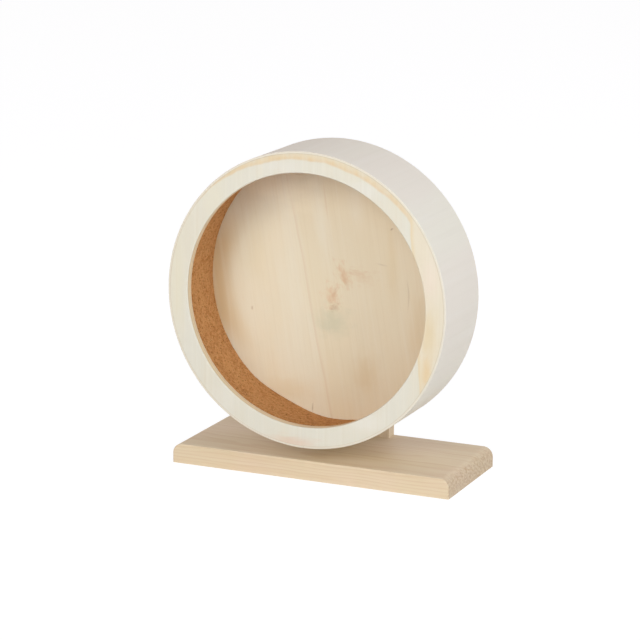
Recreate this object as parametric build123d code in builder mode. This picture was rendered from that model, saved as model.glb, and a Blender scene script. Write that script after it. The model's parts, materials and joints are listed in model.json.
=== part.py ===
"""Wooden rodent exercise wheel: a closed-back drum that turns on a ball bearing in front of a post.

The origin is at the centre of the board's underside. X runs to the right along the board, Y to the
rear, where the post stands, and Z up. The axle is parallel to Y. Lengths are in millimetres.
"""
from build123d import *
import os
from math import cos, radians, tan

os.makedirs("parts", exist_ok=True)

# Drum
wheel_diameter = 220.0
drum_depth = 66.0
ring_width = 15.75
ring_thickness = 6.0
back_wall_thickness = 6.0
band_thickness = 1.5
core_thickness = 3.0
cork_thickness = 2.5
ring_edge_radius = 0.8
band_edge_break = 0.3

# Stand
board_length = 223.0
board_depth = 92.0
board_thickness = 15.0
board_end_radius = 7.5
board_edge_break = 0.5
post_width = 62.0
post_thickness = 10.0
post_above_axle = 30.0
post_corner_radius = 12.0
post_edge_break = 0.5
under_wheel_gap = 12.0

# Hub block on the back of the drum
hub_diameter = 60.0
hub_edge_break = 1.5

# Ball bearing pressed into the hub block
bearing_bore = 8.0
bearing_outer_diameter = 22.0
bearing_width = 7.0
bearing_corner = 0.3
ball_diameter = 3.969
ball_count = 7
groove_conformity = 0.52
groove_depth = 0.55
shield_thickness = 0.3
shield_seat_depth = 0.65
shield_recess = 0.35
cage_ribbon_width = 2.0
cage_ribbon_thickness = 0.35
rivet_diameter = 0.7
rivet_projection = 0.2

# Axle bolt and what it clamps
across_flats = 13.0
hex_bevel_angle = 30.0
bolt_head_height = 5.3
bolt_tip_chamfer = 0.8
bolt_projection = 3.3
race_washer_thickness = 1.0
post_washer_diameter = 16.0
post_washer_thickness = 1.6
clamp_nut_height = 6.5
lock_nut_height = 8.0
lock_collar_height = 2.5
lock_collar_diameter = 12.0
lock_collar_wall = 0.8
lock_collar_lip = 0.3
insert_height = 1.9

# Wood screws
screw_point_angle = 40.0
countersink_angle = 90.0
base_screw_count = 2
base_screw_diameter = 4.0
base_screw_head = 8.0
base_screw_bite = 20.4
base_screw_inset = 14.0
hub_screw_count = 4
hub_screw_diameter = 3.0
hub_screw_head = 6.0
hub_screw_bite = 3.4
hub_screw_inset = 8.0
head_sunk = 0.4

# Clearances
glue_line = 0.05
seam_gap = 0.3
thread_clearance = 0.05
screw_hole_clearance = 0.25
bolt_hole_clearance = 0.25
head_side_clearance = 1.0
head_end_clearance = 1.7
press_clearance = 0.01
ball_clearance = 0.03
pocket_clearance = 0.08
shield_clearance = 0.25
race_washer_margin = 0.15

# Radii worked out from the sizes
wheel_radius = wheel_diameter / 2
disc_radius = wheel_radius - band_thickness - glue_line
cork_radius = disc_radius - core_thickness - glue_line
shank_radius = bearing_bore / 2 - press_clearance
threaded_radius = shank_radius + thread_clearance
ball_radius = ball_diameter / 2
pitch_radius = (bearing_bore + bearing_outer_diameter) / 4
groove_radius = groove_conformity * ball_diameter
groove_shift = groove_radius - ball_radius - ball_clearance
inner_shoulder = pitch_radius - ball_radius - ball_clearance + groove_depth
outer_shoulder = pitch_radius + ball_radius + ball_clearance - groove_depth
shield_seat_radius = outer_shoulder + shield_seat_depth
hex_corner = across_flats / 2 / cos(radians(30))
head_room_radius = hex_corner + head_side_clearance
insert_radius = lock_collar_diameter / 2 - lock_collar_wall

# Places along the axle, from the rear of the board to the front of the drum
post_rear = board_depth / 2
post_front = post_rear - post_thickness
post_middle = (post_front + post_rear) / 2
clamp_nut_rear = post_front - post_washer_thickness
clamp_nut_front = clamp_nut_rear - clamp_nut_height
bearing_rear = clamp_nut_front - race_washer_thickness
bearing_front = bearing_rear - bearing_width
bearing_middle = (bearing_front + bearing_rear) / 2
bolt_head_rear = bearing_front - race_washer_thickness
bolt_head_front = bolt_head_rear - bolt_head_height
drum_rear = bolt_head_front - head_end_clearance
drum_front = drum_rear - drum_depth
ring_rear = drum_front + ring_thickness
wall_front = drum_rear - back_wall_thickness
core_width = wall_front - ring_rear
hub_thickness = bearing_rear - drum_rear
lock_nut_front = post_rear + post_washer_thickness
lock_nut_rear = lock_nut_front + lock_nut_height
bolt_length = lock_nut_rear + bolt_projection - bolt_head_rear

# Heights and spacings
axle_height = board_thickness + under_wheel_gap + wheel_radius
post_height = axle_height + post_above_axle - board_thickness
hub_screw_radius = hub_diameter / 2 - hub_screw_inset
base_screw_spacing = (post_width - 2 * base_screw_inset) / (base_screw_count - 1)

axle = Axis((0, 0, axle_height), (0, 1, 0))


def across(y):
    """Plane square to the axle at y, with its origin on the axle and its normal to the rear."""
    return Plane(origin=(0, y, axle_height), x_dir=(1, 0, 0), z_dir=(0, 1, 0))


def half_section(y):
    """Plane through the axle with its origin at y: its x runs to the rear and its y is the radius."""
    return Plane(origin=(0, y, axle_height), x_dir=(0, 1, 0), z_dir=(1, 0, 0))


def underneath(z):
    """Level plane under the post at z, with its normal down."""
    return Plane(origin=(0, post_middle, z), x_dir=(1, 0, 0), z_dir=(0, 0, -1))


def ball_places(between=False):
    """Places of the balls on the bearing's pitch circle, the first at the bottom, or those between them."""
    return PolarLocations(pitch_radius, ball_count, start_angle=90 + between * 180 / ball_count)


def hub_screw_places():
    """Places of the hub screws about the axle, the first halfway between right and down."""
    return PolarLocations(hub_screw_radius, hub_screw_count, start_angle=180 / hub_screw_count)


def base_screw_places():
    """Places of the base screws in a row under the post."""
    return GridLocations(base_screw_spacing, base_screw_spacing, base_screw_count, 1)


def save(piece, name):
    """Labels a finished piece and writes it under its name."""
    piece.part.label = name
    export_step(piece.part, f"parts/{name}.step")


def bent_strip(outer_radius, thickness, front, width, seam_side):
    """Strip bent into a hoop, with its butt seam at the top (1) or the bottom (-1) of the drum."""
    with BuildSketch(across(front)) as hoop:
        Circle(outer_radius)
        Circle(outer_radius - thickness, mode=Mode.SUBTRACT)
        with Locations((0, -seam_side * (outer_radius - thickness / 2))):
            Rectangle(seam_gap, 2 * thickness, mode=Mode.SUBTRACT)
    extrude(hoop.sketch, amount=width)


def ring_plate(outer_radius, inner_radius, front, thickness):
    """Flat ring square to the axle, such as a washer."""
    with BuildSketch(across(front)) as ring:
        Circle(outer_radius)
        Circle(inner_radius, mode=Mode.SUBTRACT)
    extrude(ring.sketch, amount=thickness)


def hexagon(front, height):
    """Hexagonal bolt head or nut blank."""
    with BuildSketch(across(front)) as blank:
        RegularPolygon(across_flats / 2, 6, major_radius=False)
    extrude(blank.sketch, amount=height)


def bevel_corners(face, inward):
    """Turns a hexagon's corners off at the end face at y; inward is 1 at a front end, -1 at a rear one."""
    flat = across_flats / 2
    reach = 2 * (hex_corner - flat)
    with BuildSketch(half_section(face)) as waste:
        Polygon(
            (0, flat), (0, flat + reach), (inward * reach * tan(radians(hex_bevel_angle)), flat + reach),
            align=None,
        )
    revolve(waste.sketch, axis=axle, mode=Mode.SUBTRACT)


def wood_screw(diameter, head_diameter, length):
    """Countersunk screw that hangs down from the origin, with the top of its head there."""
    shank = diameter / 2
    head = head_diameter / 2
    cone = (head - shank) / tan(radians(countersink_angle / 2))
    point = shank / tan(radians(screw_point_angle / 2))
    with BuildPart() as screw:
        with BuildSketch(Plane.XZ):
            Polygon(
                (0, 0), (head, 0), (shank, -cone), (shank, point - length), (0, -length),
                align=None,
            )
        revolve(axis=Axis.Z)
    return screw.part


def countersink_radius(head_diameter):
    """Radius at the surface of a countersink that lets a head lie a little below it."""
    return head_diameter / 2 + head_sunk * tan(radians(countersink_angle / 2)) + thread_clearance


# Front ring, cut from plywood, with the front edge of its opening rounded
with BuildPart() as front_ring:
    ring_plate(disc_radius, wheel_radius - ring_width, drum_front, ring_thickness)
    opening_edges = front_ring.edges().filter_by(GeomType.CIRCLE).group_by(SortBy.RADIUS)[0]
    fillet(opening_edges.sort_by(Axis.Y)[0], ring_edge_radius)
save(front_ring, "front_ring")

# Back wall, cut from plywood, closed but for the hub screws' pilot holes
with BuildPart() as back_wall:
    with BuildSketch(across(wall_front)):
        Circle(disc_radius)
    extrude(amount=back_wall_thickness)
    with Locations(across(drum_rear)):
        with hub_screw_places():
            Hole(hub_screw_diameter / 2 + thread_clearance, depth=hub_screw_bite + thread_clearance)
save(back_wall, "back_wall")

# Thin outer band, bent round the ring and the wall and glued to their edges
with BuildPart() as outer_band:
    bent_strip(wheel_radius, band_thickness, drum_front, drum_depth, seam_side=-1)
    rims = outer_band.edges().filter_by(GeomType.CIRCLE).group_by(SortBy.RADIUS)[-1]
    chamfer(rims, band_edge_break)
save(outer_band, "outer_band")

# Bent core that holds the ring and the wall apart
with BuildPart() as drum_core:
    bent_strip(disc_radius, core_thickness, ring_rear, core_width, seam_side=1)
save(drum_core, "drum_core")

# Cork running surface, glued inside the core
with BuildPart() as cork_liner:
    bent_strip(cork_radius, cork_thickness, ring_rear, core_width, seam_side=1)
save(cork_liner, "cork_liner")

# Hub block: a turned disc with a seat for the bearing and room in front of it for the bolt's head
with BuildPart() as hub_block:
    with BuildSketch(across(drum_rear)):
        Circle(hub_diameter / 2)
    extrude(amount=hub_thickness)
    chamfer(hub_block.edges().sort_by(Axis.Y)[-1], hub_edge_break)
    with Locations(across(bearing_rear)):
        CounterBoreHole(
            head_room_radius,
            counter_bore_radius=bearing_outer_diameter / 2 + press_clearance,
            counter_bore_depth=bearing_width,
        )
        with hub_screw_places():
            CounterSinkHole(
                hub_screw_diameter / 2 + screw_hole_clearance,
                counter_sink_radius=countersink_radius(hub_screw_head),
                counter_sink_angle=countersink_angle,
            )
save(hub_block, "hub_block")

# Screws that hold the hub block to the back wall
hub_screw = wood_screw(hub_screw_diameter, hub_screw_head, hub_thickness - head_sunk + hub_screw_bite)
with BuildPart() as hub_screws:
    with Locations(across(bearing_rear - head_sunk)):
        with hub_screw_places():
            add(hub_screw)
save(hub_screws, "hub_screws")

# Outer race: it turns with the drum
with BuildPart() as bearing_outer_race:
    with BuildSketch(half_section(bearing_front)) as outer_section:
        with Locations((0, outer_shoulder)):
            Rectangle(bearing_width, bearing_outer_diameter / 2 - outer_shoulder, align=Align.MIN)
        chamfer(outer_section.vertices().group_by(Axis.Y)[-1], bearing_corner)
        with Locations((bearing_width / 2, pitch_radius - groove_shift)):
            Circle(groove_radius, mode=Mode.SUBTRACT)
        with Locations((0, outer_shoulder), (bearing_width, outer_shoulder)):
            Rectangle(2 * (shield_recess + shield_thickness), 2 * shield_seat_depth, mode=Mode.SUBTRACT)
    revolve(axis=axle)
save(bearing_outer_race, "bearing_outer_race")

# Inner race: it is clamped on the bolt and stands still
with BuildPart() as bearing_inner_race:
    with BuildSketch(half_section(bearing_front)) as inner_section:
        with Locations((0, bearing_bore / 2)):
            Rectangle(bearing_width, inner_shoulder - bearing_bore / 2, align=Align.MIN)
        chamfer(inner_section.vertices().group_by(Axis.Y)[0], bearing_corner)
        with Locations((bearing_width / 2, pitch_radius + groove_shift)):
            Circle(groove_radius, mode=Mode.SUBTRACT)
    revolve(axis=axle)
save(bearing_inner_race, "bearing_inner_race")

# Balls, evenly spaced by the cage
with BuildPart() as bearing_balls:
    with Locations(across(bearing_middle)):
        with ball_places():
            Sphere(ball_radius)
save(bearing_balls, "bearing_balls")


def cage_half(side):
    """Ribbon bowed over each ball, on the front (-1) or rear (1) of the balls, and flat between them."""
    pocket_radius = ball_radius + pocket_clearance
    with BuildPart() as half:
        ring_plate(outer_shoulder, inner_shoulder, bearing_middle, side * cage_ribbon_thickness)
        with Locations(across(bearing_middle)):
            with ball_places():
                Cylinder(pocket_radius + cage_ribbon_thickness, ball_diameter, rotation=(0, 90, 0))
        with BuildSketch(across(bearing_middle)):
            Circle(pitch_radius + cage_ribbon_width / 2)
            Circle(pitch_radius - cage_ribbon_width / 2, mode=Mode.SUBTRACT)
        extrude(amount=side * ball_diameter, mode=Mode.INTERSECT)
        with Locations(across(bearing_middle)):
            with ball_places():
                Cylinder(pocket_radius, ball_diameter, rotation=(0, 90, 0), mode=Mode.SUBTRACT)
            with ball_places(between=True):
                Hole(rivet_diameter / 2 + press_clearance)
    return half


bearing_cage_front = cage_half(-1)
save(bearing_cage_front, "bearing_cage_front")

bearing_cage_rear = cage_half(1)
save(bearing_cage_rear, "bearing_cage_rear")

# Rivets that join the two halves of the cage between the balls
rivet_reach = cage_ribbon_thickness + rivet_projection
with BuildPart() as bearing_cage_rivets:
    with BuildSketch(across(bearing_middle - rivet_reach)):
        with ball_places(between=True):
            Circle(rivet_diameter / 2)
    extrude(amount=2 * rivet_reach)
save(bearing_cage_rivets, "bearing_cage_rivets")

# Shields pressed into the outer race, clear of the inner one
shield_rim = shield_seat_radius - press_clearance
shield_eye = inner_shoulder + shield_clearance
with BuildPart() as bearing_shield_front:
    ring_plate(shield_rim, shield_eye, bearing_front + shield_recess, shield_thickness)
save(bearing_shield_front, "bearing_shield_front")

with BuildPart() as bearing_shield_rear:
    ring_plate(shield_rim, shield_eye, bearing_rear - shield_recess - shield_thickness, shield_thickness)
save(bearing_shield_rear, "bearing_shield_rear")

# Axle bolt, with its head in the hub block and its thread out through the post
with BuildPart() as axle_bolt:
    hexagon(bolt_head_front, bolt_head_height)
    bevel_corners(bolt_head_front, 1)
    with BuildSketch(across(bolt_head_rear)):
        Circle(shank_radius)
    extrude(amount=bolt_length)
    chamfer(axle_bolt.edges().sort_by(Axis.Y)[-1], bolt_tip_chamfer)
save(axle_bolt, "axle_bolt")

# Thin washers that touch the inner race only, one on each side of the bearing
with BuildPart() as race_washers:
    for front in (bolt_head_rear, bearing_rear):
        ring_plate(inner_shoulder - race_washer_margin, threaded_radius, front, race_washer_thickness)
save(race_washers, "race_washers")

# Nut that clamps the inner race against the bolt's head
with BuildPart() as clamp_nut:
    hexagon(clamp_nut_front, clamp_nut_height)
    bevel_corners(clamp_nut_front, 1)
    bevel_corners(clamp_nut_rear, -1)
    with Locations(across(clamp_nut_rear)):
        Hole(threaded_radius)
save(clamp_nut, "clamp_nut")

# Washers on the front and the rear of the post
with BuildPart() as post_washers:
    for front in (clamp_nut_rear, post_rear):
        ring_plate(post_washer_diameter / 2, threaded_radius, front, post_washer_thickness)
save(post_washers, "post_washers")

# Lock nut with a collar that holds its insert
insert_front = lock_nut_rear - lock_collar_lip - insert_height
with BuildPart() as lock_nut:
    hexagon(lock_nut_front, lock_nut_height - lock_collar_height)
    bevel_corners(lock_nut_front, 1)
    bevel_corners(lock_nut_rear - lock_collar_height, -1)
    with BuildSketch(across(lock_nut_rear - lock_collar_height)):
        Circle(lock_collar_diameter / 2)
    extrude(amount=lock_collar_height)
    chamfer(lock_nut.edges().sort_by(Axis.Y)[-1], lock_collar_lip)
    with Locations(across(lock_nut_rear)):
        Hole(threaded_radius)
    with BuildSketch(across(insert_front)):
        Circle(insert_radius + thread_clearance)
    extrude(amount=insert_height, mode=Mode.SUBTRACT)
save(lock_nut, "lock_nut")

# Ring of softer material that grips the thread
with BuildPart() as lock_nut_insert:
    ring_plate(insert_radius, threaded_radius, insert_front, insert_height)
save(lock_nut_insert, "lock_nut_insert")

# Base board, with its short ends rounded over and its long edges just broken
with BuildPart() as base_board:
    with BuildSketch(Plane.XZ.offset(-post_rear)) as board_end:
        Rectangle(board_length, board_thickness, align=(Align.CENTER, Align.MIN))
        fillet(board_end.vertices().group_by(Axis.Y)[-1], board_end_radius)
    extrude(amount=board_depth)
    long_faces = base_board.faces().sort_by(Axis.Y)
    long_edges = (long_faces[0].edges() + long_faces[-1].edges()).filter_by_position(
        Axis.Z, board_edge_break, board_thickness
    )
    chamfer(long_edges, board_edge_break)
    with Locations(underneath(0)):
        with base_screw_places():
            CounterSinkHole(
                base_screw_diameter / 2 + screw_hole_clearance,
                counter_sink_radius=countersink_radius(base_screw_head),
                counter_sink_angle=countersink_angle,
            )
save(base_board, "base_board")

# Post, with rounded top corners, the axle bolt's hole and the base screws' pilot holes
with BuildPart() as upright_post:
    with BuildSketch(Plane.XZ.offset(-post_rear)) as post_front_view:
        with Locations((0, board_thickness)):
            Rectangle(post_width, post_height, align=(Align.CENTER, Align.MIN))
        fillet(post_front_view.vertices().group_by(Axis.Y)[-1], post_corner_radius)
    extrude(amount=post_thickness)
    post_faces = upright_post.faces().sort_by(Axis.Y)
    post_edges = (post_faces[0].edges() + post_faces[-1].edges()).filter_by_position(
        Axis.Z, board_thickness + post_edge_break, board_thickness + post_height
    )
    chamfer(post_edges, post_edge_break)
    with Locations(across(post_rear)):
        Hole(bearing_bore / 2 + bolt_hole_clearance)
    with Locations(underneath(board_thickness)):
        with base_screw_places():
            Hole(base_screw_diameter / 2 + thread_clearance, depth=base_screw_bite + thread_clearance)
save(upright_post, "upright_post")

# Screws up through the board into the post
base_screw = wood_screw(base_screw_diameter, base_screw_head, board_thickness - head_sunk + base_screw_bite)
with BuildPart() as base_screws:
    with Locations(underneath(head_sunk)):
        with base_screw_places():
            add(base_screw)
save(base_screws, "base_screws")
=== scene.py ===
"""Looks for the wooden exercise wheel: camera, studio, materials and the hardware's fine shapes.

Lengths are in metres in the frame of the CAD: X to the right, Y to the rear along the axle, Z up.
"""
import json
from math import cos, pi, radians, sin

import bpy
from mathutils import Matrix, Vector


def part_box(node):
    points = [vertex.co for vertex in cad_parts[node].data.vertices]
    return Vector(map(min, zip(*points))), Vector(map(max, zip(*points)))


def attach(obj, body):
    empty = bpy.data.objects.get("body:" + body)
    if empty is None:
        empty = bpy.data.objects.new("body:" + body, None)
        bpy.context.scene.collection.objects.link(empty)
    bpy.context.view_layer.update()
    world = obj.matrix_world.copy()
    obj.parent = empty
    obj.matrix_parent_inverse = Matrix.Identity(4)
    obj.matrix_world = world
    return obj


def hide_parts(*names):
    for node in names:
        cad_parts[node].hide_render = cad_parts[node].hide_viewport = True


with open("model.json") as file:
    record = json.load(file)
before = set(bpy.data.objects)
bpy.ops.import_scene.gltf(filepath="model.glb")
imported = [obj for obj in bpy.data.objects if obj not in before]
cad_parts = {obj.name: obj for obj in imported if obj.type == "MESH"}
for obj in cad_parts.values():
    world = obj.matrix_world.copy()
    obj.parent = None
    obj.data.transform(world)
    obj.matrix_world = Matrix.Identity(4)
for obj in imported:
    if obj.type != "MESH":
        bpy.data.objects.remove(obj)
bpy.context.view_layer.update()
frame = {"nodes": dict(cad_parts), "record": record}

nodes = frame["nodes"]
scene = bpy.context.scene
MM = 0.001

# Places that the looks share with the CAD
axle_height = (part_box("outer_band")[0].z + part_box("outer_band")[1].z) / 2
ring_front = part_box("front_ring")[0].y
wall_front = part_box("back_wall")[0].y
disc_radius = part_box("back_wall")[1].x


# Camera

def look_from(place, azimuth, elevation, roll, lens):
    """Camera at a place in front of the wheel, turned by its azimuth, elevation and roll."""
    back = Vector((sin(azimuth) * cos(elevation), -cos(azimuth) * cos(elevation), sin(elevation)))
    right = Vector((cos(azimuth), sin(azimuth), 0))
    upright = Matrix((right, back.cross(right), back)).transposed().to_4x4()
    data = bpy.data.cameras.new("camera")
    data.sensor_width = 36
    data.lens = lens
    data.clip_end = 100
    camera = bpy.data.objects.new("camera", data)
    camera.matrix_world = Matrix.Translation(place) @ upright @ Matrix.Rotation(roll, 4, "Z")
    scene.collection.objects.link(camera)
    scene.camera = camera


# Fitted to the outlines in the photograph
look_from(
    (0.742375, -1.696205, 0.557255),
    azimuth=radians(23.953), elevation=radians(13.529), roll=radians(0.329), lens=143.99,
)


# Colours and nodes

def linear(hex_colour):
    """An sRGB hex colour as the linear colour that a shader takes."""
    parts = [int(hex_colour[i:i + 2], 16) / 255 for i in (1, 3, 5)]
    return [p / 12.92 if p <= 0.04045 else ((p + 0.055) / 1.055) ** 2.4 for p in parts] + [1]


def node(tree, kind, inputs, output=None, **settings):
    """Adds a shader node with its settings, sets or links its inputs, and gives one of its outputs."""
    made = tree.nodes.new("ShaderNode" + kind)
    for name, value in settings.items():
        setattr(made, name, value)
    for key, value in inputs.items():
        named = [s for s in made.inputs if s.enabled and s.name == key]
        socket = named[0] if named else made.inputs[key]
        if isinstance(value, bpy.types.NodeSocket):
            tree.links.new(value, socket)
        else:
            socket.default_value = value
    given = [s for s in made.outputs if s.enabled and output in (None, s.name)]
    return given[0] if given else None


def new_tree(name):
    """Empty material of that name, and its node tree."""
    material = bpy.data.materials.new(name)
    material.use_nodes = True
    material.node_tree.nodes.clear()
    return material, material.node_tree


def shade(tree, colour, height=None, depth=0.05, **values):
    """Ends a material in the Principled shader, with bumps of a depth in millimetres."""
    inputs = {name.replace("_", " "): value for name, value in values.items()}
    inputs["Base Color"] = colour
    if height:
        inputs["Normal"] = node(tree, "Bump", {"Height": height, "Distance": depth * MM, "Strength": 1.0})
    shader = node(tree, "BsdfPrincipled", inputs)
    node(tree, "OutputMaterial", {"Surface": shader})


def coordinates(tree, centre, size=(1, 1, 1), turn=(0, 0, 0)):
    """Object coordinates from a centre, turned, counted in sizes in millimetres along each axis."""
    place = node(tree, "TexCoord", {}, "Object")
    return node(
        tree, "Mapping",
        {"Vector": place, "Location": centre, "Rotation": turn, "Scale": [s * MM for s in size]},
        vector_type="TEXTURE",
    )


def patches(tree, colour, tint, share, size, low=0.4, high=0.65, turn=(0, 0, 0)):
    """A colour with up to a share of a tint, in soft patches as long, deep and high as size in
    millimetres."""
    place = coordinates(tree, (0, 0, axle_height), size, turn)
    noise = node(tree, "TexNoise", {"Vector": place, "Scale": 1.0, "Detail": 3.0}, "Fac")
    amount = node(
        tree, "MapRange", {0: noise, 1: low, 2: high, 3: 0.0, 4: share}, interpolation_type="SMOOTHSTEP",
    )
    return node(tree, "Mix", {"Factor": amount, "A": colour, "B": tint}, data_type="RGBA")


def strip_between(tree, value, start, end, soft, after=None):
    """1 where a value lies between two levels and 0 elsewhere; its edges are soft, the far one after its
    own measure if it has one."""
    after = after or soft
    rise = node(
        tree, "MapRange", {0: value, 1: start - soft, 2: start + soft}, interpolation_type="SMOOTHSTEP",
    )
    fall = node(
        tree, "MapRange", {0: value, 1: end - after, 2: end + after, 3: 1.0, 4: 0.0},
        interpolation_type="SMOOTHSTEP",
    )
    return node(tree, "Math", {0: rise, 1: fall}, operation="MULTIPLY")


def tint_by(tree, colour, tint, amount, share):
    """A colour with up to a share of a tint where an amount is 1."""
    part = node(tree, "Math", {0: amount, 1: share}, operation="MULTIPLY")
    return node(tree, "Mix", {"Factor": part, "A": colour, "B": tint}, data_type="RGBA")


def from_axle(tree, x=0, height=0):
    """Distance in millimetres from a line along Y, at x and height in millimetres from the axle."""
    flat = coordinates(tree, (x * MM, 0, axle_height + height * MM), (1, 1e6, 1))
    return node(tree, "VectorMath", {0: flat}, "Value", operation="LENGTH")


def wander(tree, size, reach):
    """Slow noise of a size in millimetres, from minus to plus its reach."""
    cloud = coordinates(tree, (0, 0, axle_height), (size, 1000, size))
    cloud = node(tree, "TexNoise", {"Vector": cloud, "Scale": 1.0, "Detail": 3.0}, "Fac")
    return node(tree, "Math", {0: cloud, 1: 4 * reach, 2: -2 * reach}, operation="MULTIPLY_ADD")


def stain(tree, colour, tint, share, x, height, size, turn=0, bend=0, ragged=0.3):
    """A colour with a stain at x and height in millimetres from the axle: a soft ellipse, turned in
    degrees, bent along its length and ragged at its edge."""
    place = coordinates(
        tree, (x * MM, 0, axle_height + height * MM), (size[0], 1000, size[1]), (0, radians(turn), 0),
    )
    parts = node(tree, "SeparateXYZ", {0: place}).node.outputs
    square = node(tree, "Math", {0: parts["Z"], 1: parts["Z"]}, operation="MULTIPLY")
    across = node(tree, "Math", {0: square, 1: bend, 2: parts["X"]}, operation="MULTIPLY_ADD")
    place = node(tree, "CombineXYZ", {"X": across, "Y": 0.0, "Z": parts["Z"]})
    cloud = node(tree, "TexNoise", {"Vector": place, "Scale": 2.2, "Detail": 4.0}, "Color")
    shift = node(tree, "VectorMath", {0: cloud, 1: (-0.5, -0.5, -0.5)}, operation="ADD")
    place = node(
        tree, "VectorMath", {0: shift, 1: (4 * ragged, 0, 4 * ragged), 2: place}, operation="MULTIPLY_ADD",
    )
    reach = node(tree, "VectorMath", {0: place}, "Value", operation="LENGTH")
    amount = node(
        tree, "MapRange", {0: reach, 1: 0.0, 2: 1.1, 3: share, 4: 0.0}, interpolation_type="SMOOTHSTEP",
    )
    return node(tree, "Mix", {"Factor": amount, "A": colour, "B": tint}, data_type="RGBA")


# Floor and backdrop: white to the eye, and the floor keeps the object's shadow

def looked_at(tree):
    """1 where the eye sees a surface straight, in a mirror or through glass."""
    seen = 0.0
    for ray in ("Is Camera Ray", "Is Glossy Ray", "Is Transmission Ray"):
        seen = node(tree, "Math", {0: seen, 1: node(tree, "LightPath", {}, ray)}, operation="MAXIMUM")
    return seen


def white_studio():
    """Wide matt floor, and a world that lights the object evenly."""
    bpy.ops.object.select_all(action="DESELECT")
    bpy.ops.mesh.primitive_plane_add(size=8, location=(0, 0, 0))
    floor = bpy.context.object
    floor.name = "studio_floor"
    material, tree = new_tree("matt white floor")
    matt = node(tree, "BsdfDiffuse", {"Color": (0.8, 0.8, 0.8, 1)})
    white = node(tree, "Emission", {"Color": (1, 1, 1, 1), "Strength": 1.0})
    # One part in five is matt, so that the object's shadow shows as faintly as in the photograph
    pale = node(tree, "MixShader", {0: 0.8, 1: matt, 2: white})
    pale = node(tree, "AddShader", {0: pale, 1: node(tree, "Emission", {"Strength": 0.12})})
    both = node(tree, "MixShader", {0: looked_at(tree), 1: matt, 2: pale})
    node(tree, "OutputMaterial", {"Surface": both})
    floor.data.materials.append(material)
    world = bpy.data.worlds.new("white studio")
    world.use_nodes = True
    tree = world.node_tree
    tree.nodes.clear()
    light = node(tree, "Background", {"Color": linear("#FEF5FF"), "Strength": 0.38})
    white = node(tree, "Background", {"Color": (1, 1, 1, 1), "Strength": 1.0})
    both = node(tree, "MixShader", {0: looked_at(tree), 1: light, 2: white})
    node(tree, "OutputWorld", {"Surface": both})
    scene.world = world


def softbox(name, azimuth, elevation, size, watts, colour, distance=2.5):
    """Square soft light at a distance from the middle of the drum, facing it."""
    middle = Vector((0, 0, axle_height))
    away = Vector((sin(azimuth) * cos(elevation), -cos(azimuth) * cos(elevation), sin(elevation)))
    data = bpy.data.lights.new(name, "AREA")
    data.size = size
    data.energy = watts
    data.color = linear(colour)[:3]
    lamp = bpy.data.objects.new(name, data)
    turn = away.to_track_quat("Z", "Y").to_matrix().to_4x4()
    lamp.matrix_world = Matrix.Translation(middle + distance * away) @ turn
    scene.collection.objects.link(lamp)


white_studio()
# Fitted to the shading in the photograph
softbox("left softbox", radians(-13), radians(17), size=0.9, watts=9.4, colour="#FFE4C1")
softbox("front softbox", radians(6), radians(20), size=1.2, watts=23.5, colour="#EBF6FF")
softbox("right softbox", radians(65), radians(15), size=1.2, watts=25.5, colour="#EBF8FF")
softbox("high softbox", radians(160), radians(62), size=1.6, watts=7.0, colour="#F0F0FF")
scene.view_settings.view_transform = "Standard"


# Woods

def ply_layers(tree, colour, middle, half):
    """Plywood of five layers: its second and fourth show the ends of their fibres, with glue beside them.
    middle is how far a point lies from the board's middle, half is half its thickness."""
    inner, outer = 0.23 * half, 0.7 * half
    colour = tint_by(tree, colour, linear("#EAD6B4"), strip_between(tree, middle, -1.0, outer, 0.1), 0.55)
    colour = tint_by(tree, colour, linear("#DDC095"), strip_between(tree, middle, inner, outer, 0.1), 0.6)
    for line in (inner, outer):
        # The glue is a tenth of this in width, too fine to show
        joint = strip_between(tree, middle, line - 0.08, line + 0.08, 0.06)
        colour = tint_by(tree, colour, linear("#B08B5B"), joint, 0.4)
    return colour


def poplar_ply(name, face, pale, warm, tilt, zones, marks):
    """Sanded poplar plywood: cream, almost without pores, with soft upright fibres and a satin bloom.
    zones and marks draw what is peculiar to one board, below and above its fibres."""
    material, tree = new_tree(name)
    upright = (0, radians(tilt), 0)
    colour = patches(tree, pale, warm, 0.5, (22, 60, 100), turn=upright)
    colour = zones(tree, colour)
    colour = patches(tree, colour, linear("#D0BE96"), 0.09, (1.8, 8, 70), 0.45, 0.75, upright)
    colour = patches(tree, colour, linear("#F4EFDF"), 0.14, (3, 8, 90), 0.48, 0.75, upright)
    colour = patches(tree, colour, linear("#D8BE98"), 0.12, (0.7, 6, 9), 0.55, 0.8, upright)
    colour = marks(tree, colour)
    half = 3.0
    depth = coordinates(tree, (0, face + half * MM, axle_height))
    depth = node(tree, "SeparateXYZ", {0: depth}, "Y")
    colour = ply_layers(tree, colour, node(tree, "Math", {0: depth}, operation="ABSOLUTE"), half)
    fine = coordinates(tree, (0, 0, axle_height), (0.5, 3, 14), upright)
    fibres = node(tree, "TexNoise", {"Vector": fine, "Scale": 1.0, "Detail": 3.0}, "Fac")
    shade(tree, colour, fibres, 0.02, Roughness=0.58, IOR=1.5, Specular_IOR_Level=0.35)
    return material


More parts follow.
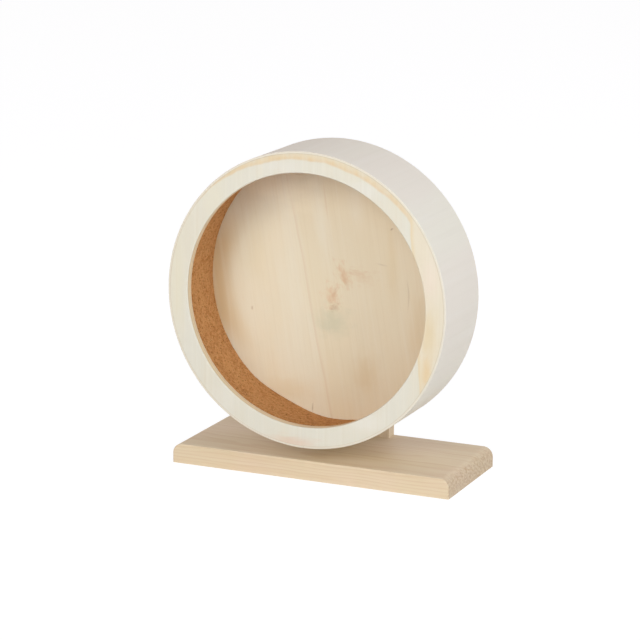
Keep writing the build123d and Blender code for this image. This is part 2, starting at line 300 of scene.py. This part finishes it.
def ring_zones(tree, colour):
    """The ring's growth line: an arch near the rim at the top that runs down its right side, with warmer
    wood outside it."""
    arch_radius, side_place, side_lean = 112.6, 86.5, -4.3
    over = node(tree, "Math", {0: from_axle(tree, -2.4, -9.1), 1: arch_radius}, operation="SUBTRACT")
    over = node(tree, "Math", {0: over, 1: wander(tree, 24, 1.1)}, operation="ADD")
    side = coordinates(tree, (side_place * MM, 0, axle_height), turn=(0, radians(side_lean), 0))
    side = node(tree, "SeparateXYZ", {0: side}, "X")
    side = node(tree, "Math", {0: wander(tree, 30, 0.8), 1: side}, operation="ADD")
    right = strip_between(tree, side, 0.2, 100.0, 0.8)
    colour = tint_by(tree, colour, linear("#E4D8BE"), right, 0.8)
    for share, tint, x, height, size in (
        (0.55, "#EAD9C6", 98, 26, (9, 22)), (0.7, "#DFCBA2", 97, -14, (10, 26)),
        (0.8, "#E0C698", 96, -42, (6, 18)), (0.5, "#E3DCC0", -102, 6, (9, 60)),
        (0.5, "#E2DCC4", -72, 72, (14, 30)), (0.5, "#E4DFCF", -66, -80, (22, 14)),
        (0.5, "#E2DFD3", 44, 86, (26, 9)), (0.5, "#E1DDD0", -20, 98, (26, 6)),
        (0.7, "#E6E2D4", 50, -84, (24, 12)),
    ):
        colour = stain(tree, colour, linear(tint), share, x, height, size, ragged=0.2)
    warm = strip_between(tree, over, 0.4, 5.5, 1.0, 4.0)
    mottle = node(tree, "Math", {0: wander(tree, 6, 0.35), 1: 0.75}, operation="ADD")
    warm = node(tree, "Math", {0: warm, 1: mottle}, operation="MULTIPLY", use_clamp=True)
    left = node(tree, "Math", {0: 1.0, 1: right}, operation="SUBTRACT")
    warm = node(tree, "Math", {0: warm, 1: left}, operation="MULTIPLY")
    colour = tint_by(tree, colour, linear("#E0C491"), warm, 0.75)
    upper = node(tree, "SeparateXYZ", {0: coordinates(tree, (0, 0, axle_height))}, "Z")
    upper = strip_between(tree, upper, 42.0, 230.0, 14.0)
    line = node(
        tree, "Math", {0: strip_between(tree, over, 0.5, 1.5, 0.9, 1.8), 1: upper}, operation="MULTIPLY",
    )
    line = node(tree, "Math", {0: line, 1: left}, operation="MULTIPLY")
    colour = tint_by(tree, colour, linear("#D9B98A"), line, 0.4)
    return tint_by(tree, colour, linear("#E0C894"), strip_between(tree, side, 0.2, 1.8, 0.6, 2.4), 0.6)


def ring_marks(tree, colour):
    """A pinkish smudge at the ring's foot, a warm tint on the opening's edge that is partly the wood's own
    colour and partly painted warm light thrown back inside the drum, and the hairline where the ring meets
    the band."""
    depth = coordinates(tree, (0, ring_front, axle_height))
    depth = node(tree, "SeparateXYZ", {0: depth}, "Y")
    # Behind the front ply the edge is tinted warm: partly the ply's own colour, partly painted warm reflected
    # light
    colour = tint_by(tree, colour, linear("#ECD9B8"), strip_between(tree, depth, 1.6, 50.0, 0.3), 0.8)
    colour = stain(tree, colour, linear("#DDBFA6"), 0.6, -9, -106, (30, 6))
    # The hairline is drawn three times as wide as it is
    joint = strip_between(tree, from_axle(tree), disc_radius / MM - 0.3, disc_radius / MM + 1, 0.12)
    return tint_by(tree, colour, linear("#BFA883"), joint, 0.45)


def wall_zones(tree, colour):
    """The wall's heartwood on the right of one long slanted line, with paler and darker streaks, a pale patch
    of painted light at the upper left where the ring's shadow falls, and painted shade with the cork's warm
    reflected light beside the cork on the left."""
    line_place, line_lean = -25.5, -11.8
    heart = coordinates(tree, (line_place * MM, 0, axle_height), turn=(0, radians(line_lean), 0))
    heart = node(tree, "SeparateXYZ", {0: heart}, "X")
    heart = node(tree, "Math", {0: wander(tree, 60, 1.2), 1: heart}, operation="ADD")
    darker = node(
        tree, "MapRange", {0: heart, 1: 0.5, 2: 5.0, 3: 0.0, 4: 0.6}, interpolation_type="SMOOTHSTEP",
    )
    colour = node(tree, "Mix", {"Factor": darker, "A": colour, "B": linear("#E9DCBB")}, data_type="RGBA")
    line = strip_between(tree, heart, 0.2, 1.0, 0.6, 2.4)
    colour = tint_by(tree, colour, linear("#CFA877"), line, 0.36)
    for share, tint, x, height, size, turn in (
        (0.7, "#EFE9D2", -14, 52, (9, 46), -9), (0.5, "#EEE7D0", 14, 66, (8, 30), -6),
        (0.28, "#DEC795", 44, 22, (7, 46), -4), (0.3, "#D8BE8E", 66, -26, (12, 40), 4),
        # The pale #FDF3D6 stain near (-50, 72) is painted light that lightens the shadow the ring casts there
        (0.25, "#E3D6AE", -70, 24, (22, 40), 0), (0.85, "#FDF3D6", -50, 72, (44, 22), 8),
        (0.35, "#DFC79B", -38, -84, (30, 13), 0), (0.5, "#DCC59A", 24, -66, (16, 22), 0),
        (0.3, "#D8BC92", -10, 64, (1.2, 20), -8),
    ):
        colour = stain(tree, colour, linear(tint), share, x, height, size, turn, ragged=0.2)
    parts = node(tree, "SeparateXYZ", {0: coordinates(tree, (0, 0, axle_height))}).node.outputs
    # Painted shade and painted warm reflected light: the wall is darkened and warmed beside the cork on the
    # left
    painted_cork_shade = strip_between(tree, from_axle(tree), 89.0, 200.0, 9.0)
    level = strip_between(tree, parts["Z"], -46.0, 36.0, 18.0)
    left = strip_between(tree, parts["X"], -200.0, -58.0, 16.0)
    for part in (level, left):
        painted_cork_shade = node(tree, "Math", {0: painted_cork_shade, 1: part}, operation="MULTIPLY")
    return tint_by(tree, colour, linear("#DBC090"), painted_cork_shade, 0.85)


def wall_marks(tree, colour):
    """Two small knots with a grey stain below them, flecks, and a fine curved crack."""
    for share, tint, x, height, size, turn in (
        (0.42, "#DBAC7F", 5, 9, (6, 13), -30), (0.3, "#CC9C6C", 6, 5, (2.6, 9), -24),
        (0.3, "#D6AE86", 15, 11, (12, 4), 6), (0.2, "#DBB893", 22, 8, (12, 8), 0),
        (0.42, "#DFB186", -4, -8, (8, 11), -10), (0.3, "#CB9B6D", -2, -6, (2.6, 8), 20),
        (0.42, "#BE9468", -2.5, -17, (6, 3.6), -14),
    ):
        colour = stain(tree, colour, linear(tint), share, x, height, size, turn, ragged=0.7)
    colour = stain(tree, colour, linear("#C6C9AC"), 0.42, -4, -28, (20, 15), ragged=0.35)
    colour = stain(tree, colour, linear("#8A683F"), 0.5, 43.4, 46.4, (1.0, 1.9), 50)
    colour = stain(tree, colour, linear("#A08560"), 0.18, 36, 19, (6, 1.0), 8)
    colour = stain(tree, colour, linear("#A88A5C"), 0.25, 57.5, -2, (0.9, 15), -3, bend=2.6, ragged=0.1)
    colour = stain(tree, colour, linear("#94764C"), 0.45, -19.4, -96, (0.8, 5), 3)
    return stain(tree, colour, linear("#A9875A"), 0.4, -70, -24, (1.3, 2.2))


def bending_ply(name, face):
    """Thin bending plywood, grey-cream, with fine fibres across the strip so that it bends."""
    material, tree = new_tree(name)
    colour = patches(tree, linear(face), linear("#F1E3D6"), 0.4, (70, 400, 70))
    colour = patches(tree, colour, linear("#DDD4BF"), 0.1, (4, 160, 4), 0.45, 0.75)
    colour = patches(tree, colour, linear("#FAF6EC"), 0.14, (7, 200, 7), 0.5, 0.75)
    across = node(tree, "SeparateXYZ", {0: node(tree, "TexCoord", {}, "Normal")}, "Y")
    across = node(tree, "Math", {0: across}, operation="ABSOLUTE")
    edge = node(tree, "MapRange", {0: across, 1: 0.4, 2: 0.9}, interpolation_type="SMOOTHSTEP")
    colour = tint_by(tree, colour, linear("#DDD5C0"), edge, 0.75)
    fine = coordinates(tree, (0, 0, axle_height), (0.6, 18, 0.6))
    fibres = node(tree, "TexNoise", {"Vector": fine, "Scale": 1.0, "Detail": 3.0}, "Fac")
    shade(tree, colour, fibres, 0.02, Roughness=0.6, IOR=1.5, Specular_IOR_Level=0.35)
    return material


def pine(name, pith, turn, light, late):
    """Planed pine: dull satin, with narrow brown late wood in each growth ring round the pith, which lies
    along the grain, and darker, rougher ends where the fibres are cut across."""
    year_width = 2.7
    material, tree = new_tree(name)
    place = coordinates(tree, pith, turn=turn)
    slow = coordinates(tree, pith, (26, 26, 150), turn)
    cloud = node(tree, "TexNoise", {"Vector": slow, "Scale": 1.0, "Detail": 3.0}, "Color")
    drift = node(tree, "VectorMath", {0: cloud, 1: (15, 15, 0), 2: place}, operation="MULTIPLY_ADD")
    flat = node(tree, "VectorMath", {0: drift, 1: (1, 1, 0)}, operation="MULTIPLY")
    radius = node(tree, "VectorMath", {0: flat}, "Value", operation="LENGTH")
    ring = node(tree, "Math", {0: radius, 1: year_width}, operation="DIVIDE")
    part = node(tree, "Math", {0: ring}, operation="FRACT")
    brown = strip_between(tree, part, 0.68, 0.96, 0.3, 0.04)
    year = node(tree, "TexNoise", {"W": ring, "Scale": 0.8, "Detail": 1.0}, "Fac", noise_dimensions="1D")
    year = node(
        tree, "MapRange", {0: year, 1: 0.35, 2: 0.7, 3: 0.04, 4: 0.42}, interpolation_type="SMOOTHSTEP",
    )
    brown = node(tree, "Math", {0: brown, 1: year}, operation="MULTIPLY")
    facing = node(
        tree, "Mapping", {"Vector": node(tree, "TexCoord", {}, "Normal"), "Rotation": turn},
        vector_type="TEXTURE",
    )
    end = node(tree, "Math", {0: node(tree, "SeparateXYZ", {0: facing}, "Z")}, operation="ABSOLUTE")
    end = node(tree, "MapRange", {0: end, 1: 0.3, 2: 0.85}, interpolation_type="SMOOTHSTEP")
    colour = patches(tree, linear(light), linear("#E6CFB4"), 0.5, (60, 60, 60), turn=turn)
    colour = patches(tree, colour, linear("#D9BE97"), 0.35, (5, 5, 120), 0.45, 0.7, turn)
    colour = tint_by(tree, colour, linear(late), brown, 1.0)
    fine = coordinates(tree, pith, (0.7, 0.7, 26), turn)
    fibres = node(tree, "TexNoise", {"Vector": fine, "Scale": 1.0, "Detail": 3.0}, "Fac")
    dark = node(
        tree, "MapRange", {0: fibres, 1: 0.52, 2: 0.76, 3: 0.0, 4: 0.22}, interpolation_type="SMOOTHSTEP",
    )
    colour = node(tree, "Mix", {"Factor": dark, "A": colour, "B": linear("#C39B6C")}, data_type="RGBA")
    torn = node(tree, "TexNoise", {"Vector": place, "Scale": 0.45, "Detail": 5.0, "Roughness": 0.7}, "Fac")
    torn = node(tree, "MapRange", {0: torn, 1: 0.42, 2: 0.62, 3: 0.06, 4: 0.62})
    torn = node(tree, "Math", {0: torn, 1: end}, operation="MULTIPLY")
    colour = tint_by(tree, colour, linear("#B48C64"), torn, 1.0)
    relief = node(tree, "Math", {0: fibres, 1: brown}, operation="ADD")
    shade(tree, colour, relief, 0.05, Roughness=0.55, IOR=1.5, Specular_IOR_Level=0.4)
    return material


def pressed_cork():
    """Pressed cork: matt orange-brown granules, one to three millimetres across, with a few of dark
    bark."""
    material, tree = new_tree("pressed cork")
    place = coordinates(tree, (0, 0, axle_height))
    colour = linear("#CE9761")
    for size, spread in ((3.2, 0.5), (1.6, 0.75), (0.8, 0.4)):
        inputs = {"Vector": place, "Scale": 1 / size, "Randomness": 1.0}
        grain = node(tree, "SeparateColor", {0: node(tree, "TexVoronoi", inputs, "Color")}).node.outputs
        dark = node(tree, "MapRange", {0: grain["Red"], 1: 0.0, 2: 0.5, 3: spread, 4: 0.0})
        colour = node(tree, "Mix", {"Factor": dark, "A": colour, "B": linear("#A86C39")}, data_type="RGBA")
        light = node(tree, "MapRange", {0: grain["Green"], 1: 0.6, 2: 1.0, 3: 0.0, 4: spread})
        colour = node(tree, "Mix", {"Factor": light, "A": colour, "B": linear("#D3A068")}, data_type="RGBA")
    bark = node(tree, "Math", {0: grain["Blue"], 1: 0.965}, operation="GREATER_THAN")
    colour = tint_by(tree, colour, linear("#75481F"), bark, 0.65)
    domes = node(tree, "TexVoronoi", {"Vector": place, "Scale": 0.9, "Randomness": 1.0}, "Distance")
    domes = node(tree, "Math", {0: 1.0, 1: domes}, operation="SUBTRACT")
    shade(tree, colour, domes, 0.35, Roughness=0.9, IOR=1.45, Specular_IOR_Level=0.2)
    return material


# Metals and plastic

def steel(name, colour, tint, roughness, line):
    """Bright steel, turned or pressed: fine lines round the axle, line apart in millimetres, catch the
    light unevenly, with a faint tint in clouds."""
    material, tree = new_tree(name)
    tone = patches(tree, linear(colour), linear(tint), 0.7, (4, 4, 4))
    along = node(tree, "SeparateXYZ", {0: coordinates(tree, (0, 0, axle_height))}, "Y")
    place = node(tree, "CombineXYZ", {"X": from_axle(tree), "Y": along, "Z": 0.0})
    lines = node(tree, "TexNoise", {"Vector": place, "Scale": 1 / line, "Detail": 2.0}, "Fac")
    rough = node(tree, "MapRange", {0: lines, 1: 0.3, 2: 0.7, 3: roughness * 0.75, 4: roughness * 1.3})
    shade(tree, tone, lines, 0.004, Roughness=rough, Metallic=1.0)
    return material


def natural_nylon():
    """Natural nylon: milky and waxy, with light let a little way in."""
    material, tree = new_tree("natural nylon")
    colour = patches(tree, linear("#E6E7E6"), linear("#D6D8D2"), 0.6, (1.5, 1.5, 1.5))
    shade(
        tree, colour, Roughness=0.42, IOR=1.53, Subsurface_Weight=0.15,
        Subsurface_Radius=(0.6 * MM, 0.6 * MM, 0.5 * MM), Subsurface_Scale=1.0,
    )
    return material


along_x, upright = (0, radians(90), 0), (0, 0, 0)
light_pine, late_pine = "#E4D0AF", "#C6A06F"
finishes = {
    "front_ring": poplar_ply(
        "sanded poplar ply, ring", ring_front, linear("#DEDAC9"), linear("#DFD7C0"), 0,
        ring_zones, ring_marks,
    ),
    "back_wall": poplar_ply(
        "sanded poplar ply, wall", wall_front, linear("#EDE5CC"), linear("#EBDFC1"), -9,
        wall_zones, wall_marks,
    ),
    "outer_band": bending_ply("bending ply, band", "#F1EAD8"),
    "drum_core": bending_ply("bending ply, core", "#DFCDA9"),
    "cork_liner": pressed_cork(),
    "base_board": pine("planed pine, board", (0, -25 * MM, -62 * MM), along_x, "#E1CEAD", late_pine),
    "upright_post": pine("planed pine, post", (14 * MM, 95 * MM, 0), upright, light_pine, late_pine),
    "hub_block": pine("turned pine, hub", (-18 * MM, -30 * MM, 0), upright, light_pine, late_pine),
}
by_slot = {
    "zinc_plated_steel": steel("bright zinc plate", "#C9CDD2", "#D2CFC2", 0.3, 0.12),
    "bearing_steel": steel("ground bearing steel", "#C3C4C6", "#BABBBF", 0.22, 0.06),
    "polished_steel": steel("polished steel balls", "#D3D3D5", "#CBCCD0", 0.08, 0.3),
    "pressed_steel": steel("pressed bright steel", "#B7B8BA", "#C1BDB4", 0.36, 0.15),
    "nylon": natural_nylon(),
}
for subpart in frame["record"]["subparts"]:
    part = nodes[subpart["node"]]
    part.data.materials.clear()
    part.data.materials.append(finishes.get(part.name) or by_slot[subpart["material_slot"]])


# Modelling by hand

def pick(*objects):
    """Selects these objects alone, with the first active."""
    bpy.ops.object.select_all(action="DESELECT")
    for thing in objects:
        thing.select_set(True)
    bpy.context.view_layer.objects.active = objects[0]


def apply_modifier(piece, kind, **settings):
    """Adds a modifier with its settings and applies it."""
    pick(piece)
    made = piece.modifiers.new(kind.lower(), kind)
    for name, value in settings.items():
        setattr(made, name, value)
    bpy.ops.object.modifier_apply(modifier=made.name)


def in_edit_mode(piece, chosen):
    """Opens a piece for editing with the vertices selected that a test chooses."""
    pick(piece)
    bpy.ops.object.mode_set(mode="EDIT")
    bpy.ops.mesh.select_mode(type="VERT")
    bpy.ops.mesh.select_all(action="DESELECT")
    bpy.ops.object.mode_set(mode="OBJECT")
    for vertex in piece.data.vertices:
        vertex.select = chosen(vertex)
    bpy.ops.object.mode_set(mode="EDIT")


def cut(piece, other, operation):
    """Cuts a piece by another one, which is used up."""
    apply_modifier(piece, "BOOLEAN", object=other, operation=operation, solver="EXACT")
    bpy.data.objects.remove(other)


def finish_piece(piece, name, node_name, body, angle=35):
    """Leaves a piece at the origin in its node's finish, standing for that node and riding on a body."""
    pick(piece)
    bpy.ops.object.transform_apply(location=True, rotation=True, scale=True)
    bpy.ops.object.shade_smooth_by_angle(angle=radians(angle))
    piece.name = name
    piece.data.materials.clear()
    piece.data.materials.append(nodes[node_name].data.materials[0])
    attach(piece, body)
    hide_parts(node_name)


# Cork liner

def granular_cork_liner():
    """The cork strip with its grainy surface; at the lower left it stands a little off the core."""
    thickness, bulge, bulge_reach, bulge_at = 2.5 * MM, 2.1 * MM, 40 * MM, radians(247)
    low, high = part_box("cork_liner")
    bpy.ops.object.select_all(action="DESELECT")
    bpy.ops.mesh.primitive_circle_add(
        vertices=480, radius=high.x, location=(0, low.y, axle_height), rotation=(pi / 2, 0, 0),
    )
    liner = bpy.context.object
    bpy.ops.object.transform_apply(location=True, rotation=True, scale=True)
    in_edit_mode(liner, lambda vertex: True)
    rows = 36
    row_width = (high.y - low.y) / rows
    for _ in range(rows):
        bpy.ops.mesh.extrude_region_move(TRANSFORM_OT_translate={"value": (0, row_width, 0)})
    bpy.ops.mesh.select_all(action="SELECT")
    bpy.ops.mesh.normals_make_consistent(inside=False)
    bpy.ops.object.mode_set(mode="OBJECT")
    outward = Vector((cos(bulge_at), 0, sin(bulge_at)))
    in_edit_mode(
        liner,
        lambda vertex: (vertex.co - Vector((0, vertex.co.y, axle_height))).angle(outward) < radians(0.4),
    )
    bpy.ops.transform.translate(
        value=-bulge * outward, use_proportional_edit=True, proportional_edit_falloff="SMOOTH",
        proportional_size=bulge_reach,
    )
    bpy.ops.object.mode_set(mode="OBJECT")
    apply_modifier(liner, "SOLIDIFY", thickness=thickness, offset=-1.0, use_even_offset=True)
    granules = bpy.data.textures.new("cork_granules", "VORONOI")
    granules.noise_scale = 1.6 * MM
    apply_modifier(
        liner, "DISPLACE", texture=granules, texture_coords="LOCAL", strength=0.35 * MM, mid_level=1.0,
    )
    finish_piece(liner, "granular_cork_liner", "cork_liner", "wheel", 60)


# Threads, bolt and screws, each made along Z with its head up, at the origin

def thread(core, crest, pitch, turns, top):
    """Thread of a core and a crest radius that goes down from its top, closed at both ends. Its profile
    is a flank out, a narrow crest, a flank in and a narrow root, in parts of the pitch."""
    bpy.ops.object.select_all(action="DESELECT")
    bpy.ops.mesh.primitive_plane_add(size=core)
    rod = bpy.context.object
    in_edit_mode(rod, lambda vertex: True)
    bpy.ops.mesh.merge(type="CENTER")
    bpy.ops.transform.translate(value=(core, 0, top - (turns + 1) * pitch))
    depth = crest - core
    for out, up in ((depth, 0.36), (0, 0.1), (-depth, 0.36), (0, 0.18)):
        bpy.ops.mesh.extrude_region_move(TRANSFORM_OT_translate={"value": (out, 0, up * pitch)})
    bpy.ops.object.mode_set(mode="OBJECT")
    apply_modifier(
        rod, "SCREW", axis="Z", angle=2 * pi, screw_offset=pitch, iterations=turns, steps=24, render_steps=24,
        use_merge_vertices=True,
    )
    in_edit_mode(rod, lambda vertex: True)
    bpy.ops.mesh.remove_doubles(threshold=0.001 * MM)
    bpy.ops.mesh.fill_holes(sides=0)
    bpy.ops.mesh.select_all(action="SELECT")
    bpy.ops.mesh.normals_make_consistent(inside=False)
    bpy.ops.object.mode_set(mode="OBJECT")
    return rod


def round_bar(bottom_radius, top_radius, bottom, top, sides=40):
    """Bar or cone along Z between two heights."""
    bpy.ops.object.select_all(action="DESELECT")
    bpy.ops.mesh.primitive_cone_add(
        vertices=sides, radius1=bottom_radius, radius2=top_radius, depth=top - bottom,
        location=(0, 0, (top + bottom) / 2),
    )
    bpy.ops.object.transform_apply(location=True)
    return bpy.context.object


def join(*pieces):
    """Joins pieces into the first one."""
    pick(*pieces)
    bpy.ops.object.join()
    return pieces[0]


def hexagon_bolt():
    """Bolt with a coned hexagon head, a plain neck, a thread and a chamfered tip."""
    crest, core, tip_radius, pitch, turns = 3.99 * MM, 3.35 * MM, 2.7 * MM, 1.25 * MM, 24
    neck_length, chamfer, overlap = 7.6 * MM, 1 * MM, 0.2 * MM
    cone_foot, cone_top = 18 * MM, 6.1 * MM
    low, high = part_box("axle_bolt")
    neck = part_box("race_washers")[0].y
    length = high.y - neck
    head = round_bar(high.x, high.x, 0, neck - low.y, sides=6)
    pick(head)
    head.rotation_euler.z = pi / 2
    cut(head, round_bar(cone_foot, cone_top, 0, neck - low.y, sides=64), "INTERSECT")
    bolt = join(
        head, round_bar(crest, crest, -neck_length, overlap),
        thread(core, crest, pitch, turns, overlap - neck_length),
        round_bar(tip_radius, core, -length, chamfer - length),
    )
    pick(bolt)
    bpy.ops.object.transform_apply(rotation=True)
    # The head faces the drum, so the bolt's top turns to the front
    bolt.rotation_euler.x = pi / 2
    bolt.location = (0, neck, axle_height)
    finish_piece(bolt, "hexagon_bolt", "axle_bolt", "stand")


def countersunk_screw(diameter, head, length):
    """Wood screw with a countersunk head, its top at the origin, and a cross recess."""
    core, pitch, tip, overlap = 0.34 * diameter, 0.42 * diameter, 1.6 * diameter, 0.2 * MM
    depth = head / 2 - core
    top = round_bar(core, head / 2, -depth, 0, sides=48)
    for turn in (0, pi / 2):
        bpy.ops.object.select_all(action="DESELECT")
        bpy.ops.mesh.primitive_cube_add(size=1, rotation=(0, 0, turn))
        slot = bpy.context.object
        slot.scale = (0.56 * head, 0.12 * head, 0.5 * head)
        bpy.ops.object.transform_apply(rotation=True, scale=True)
        # The recess narrows towards its bottom
        in_edit_mode(slot, lambda vertex: vertex.co.z < 0)
        bpy.ops.transform.resize(value=(0.35, 0.35, 1.0))
        bpy.ops.object.mode_set(mode="OBJECT")
        cut(top, slot, "DIFFERENCE")
    turns = int((length - depth - tip) / pitch) - 1
    return join(
        top, thread(core, diameter / 2, pitch, turns, -depth - overlap),
        round_bar(core, core, tip - length, overlap - depth),
        round_bar(0.05 * core, core, -length, tip - length),
    )


def set_screws(node_name, body, diameter, head, length, turn, places):
    """Screws modelled once and copied to each place, turned so that their heads face outwards."""
    made = [countersunk_screw(diameter, head, length)]
    for place in places[1:]:
        screw = made[0].copy()
        screw.data = made[0].data.copy()
        scene.collection.objects.link(screw)
        made.append(screw)
    for count, (screw, place) in enumerate(zip(made, places)):
        screw.location = place
        screw.rotation_euler = turn
        finish_piece(screw, f"{node_name}_{count + 1}", node_name, body)


granular_cork_liner()
hexagon_bolt()
low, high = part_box("base_screws")
apart, middle_of_post = 17 * MM, 41 * MM
set_screws(
    "base_screws", "stand", diameter=4 * MM, head=8 * MM, length=high.z - low.z, turn=(pi, 0, 0),
    places=[(x, middle_of_post, low.z) for x in (-apart, apart)],
)
low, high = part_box("hub_screws")
screw_circle = 22 * MM
across = screw_circle * cos(radians(45))
set_screws(
    "hub_screws", "wheel", diameter=3 * MM, head=6 * MM, length=high.y - low.y, turn=(-pi / 2, 0, 0),
    places=[(x, high.y, axle_height + z) for x in (-across, across) for z in (-across, across)],
)
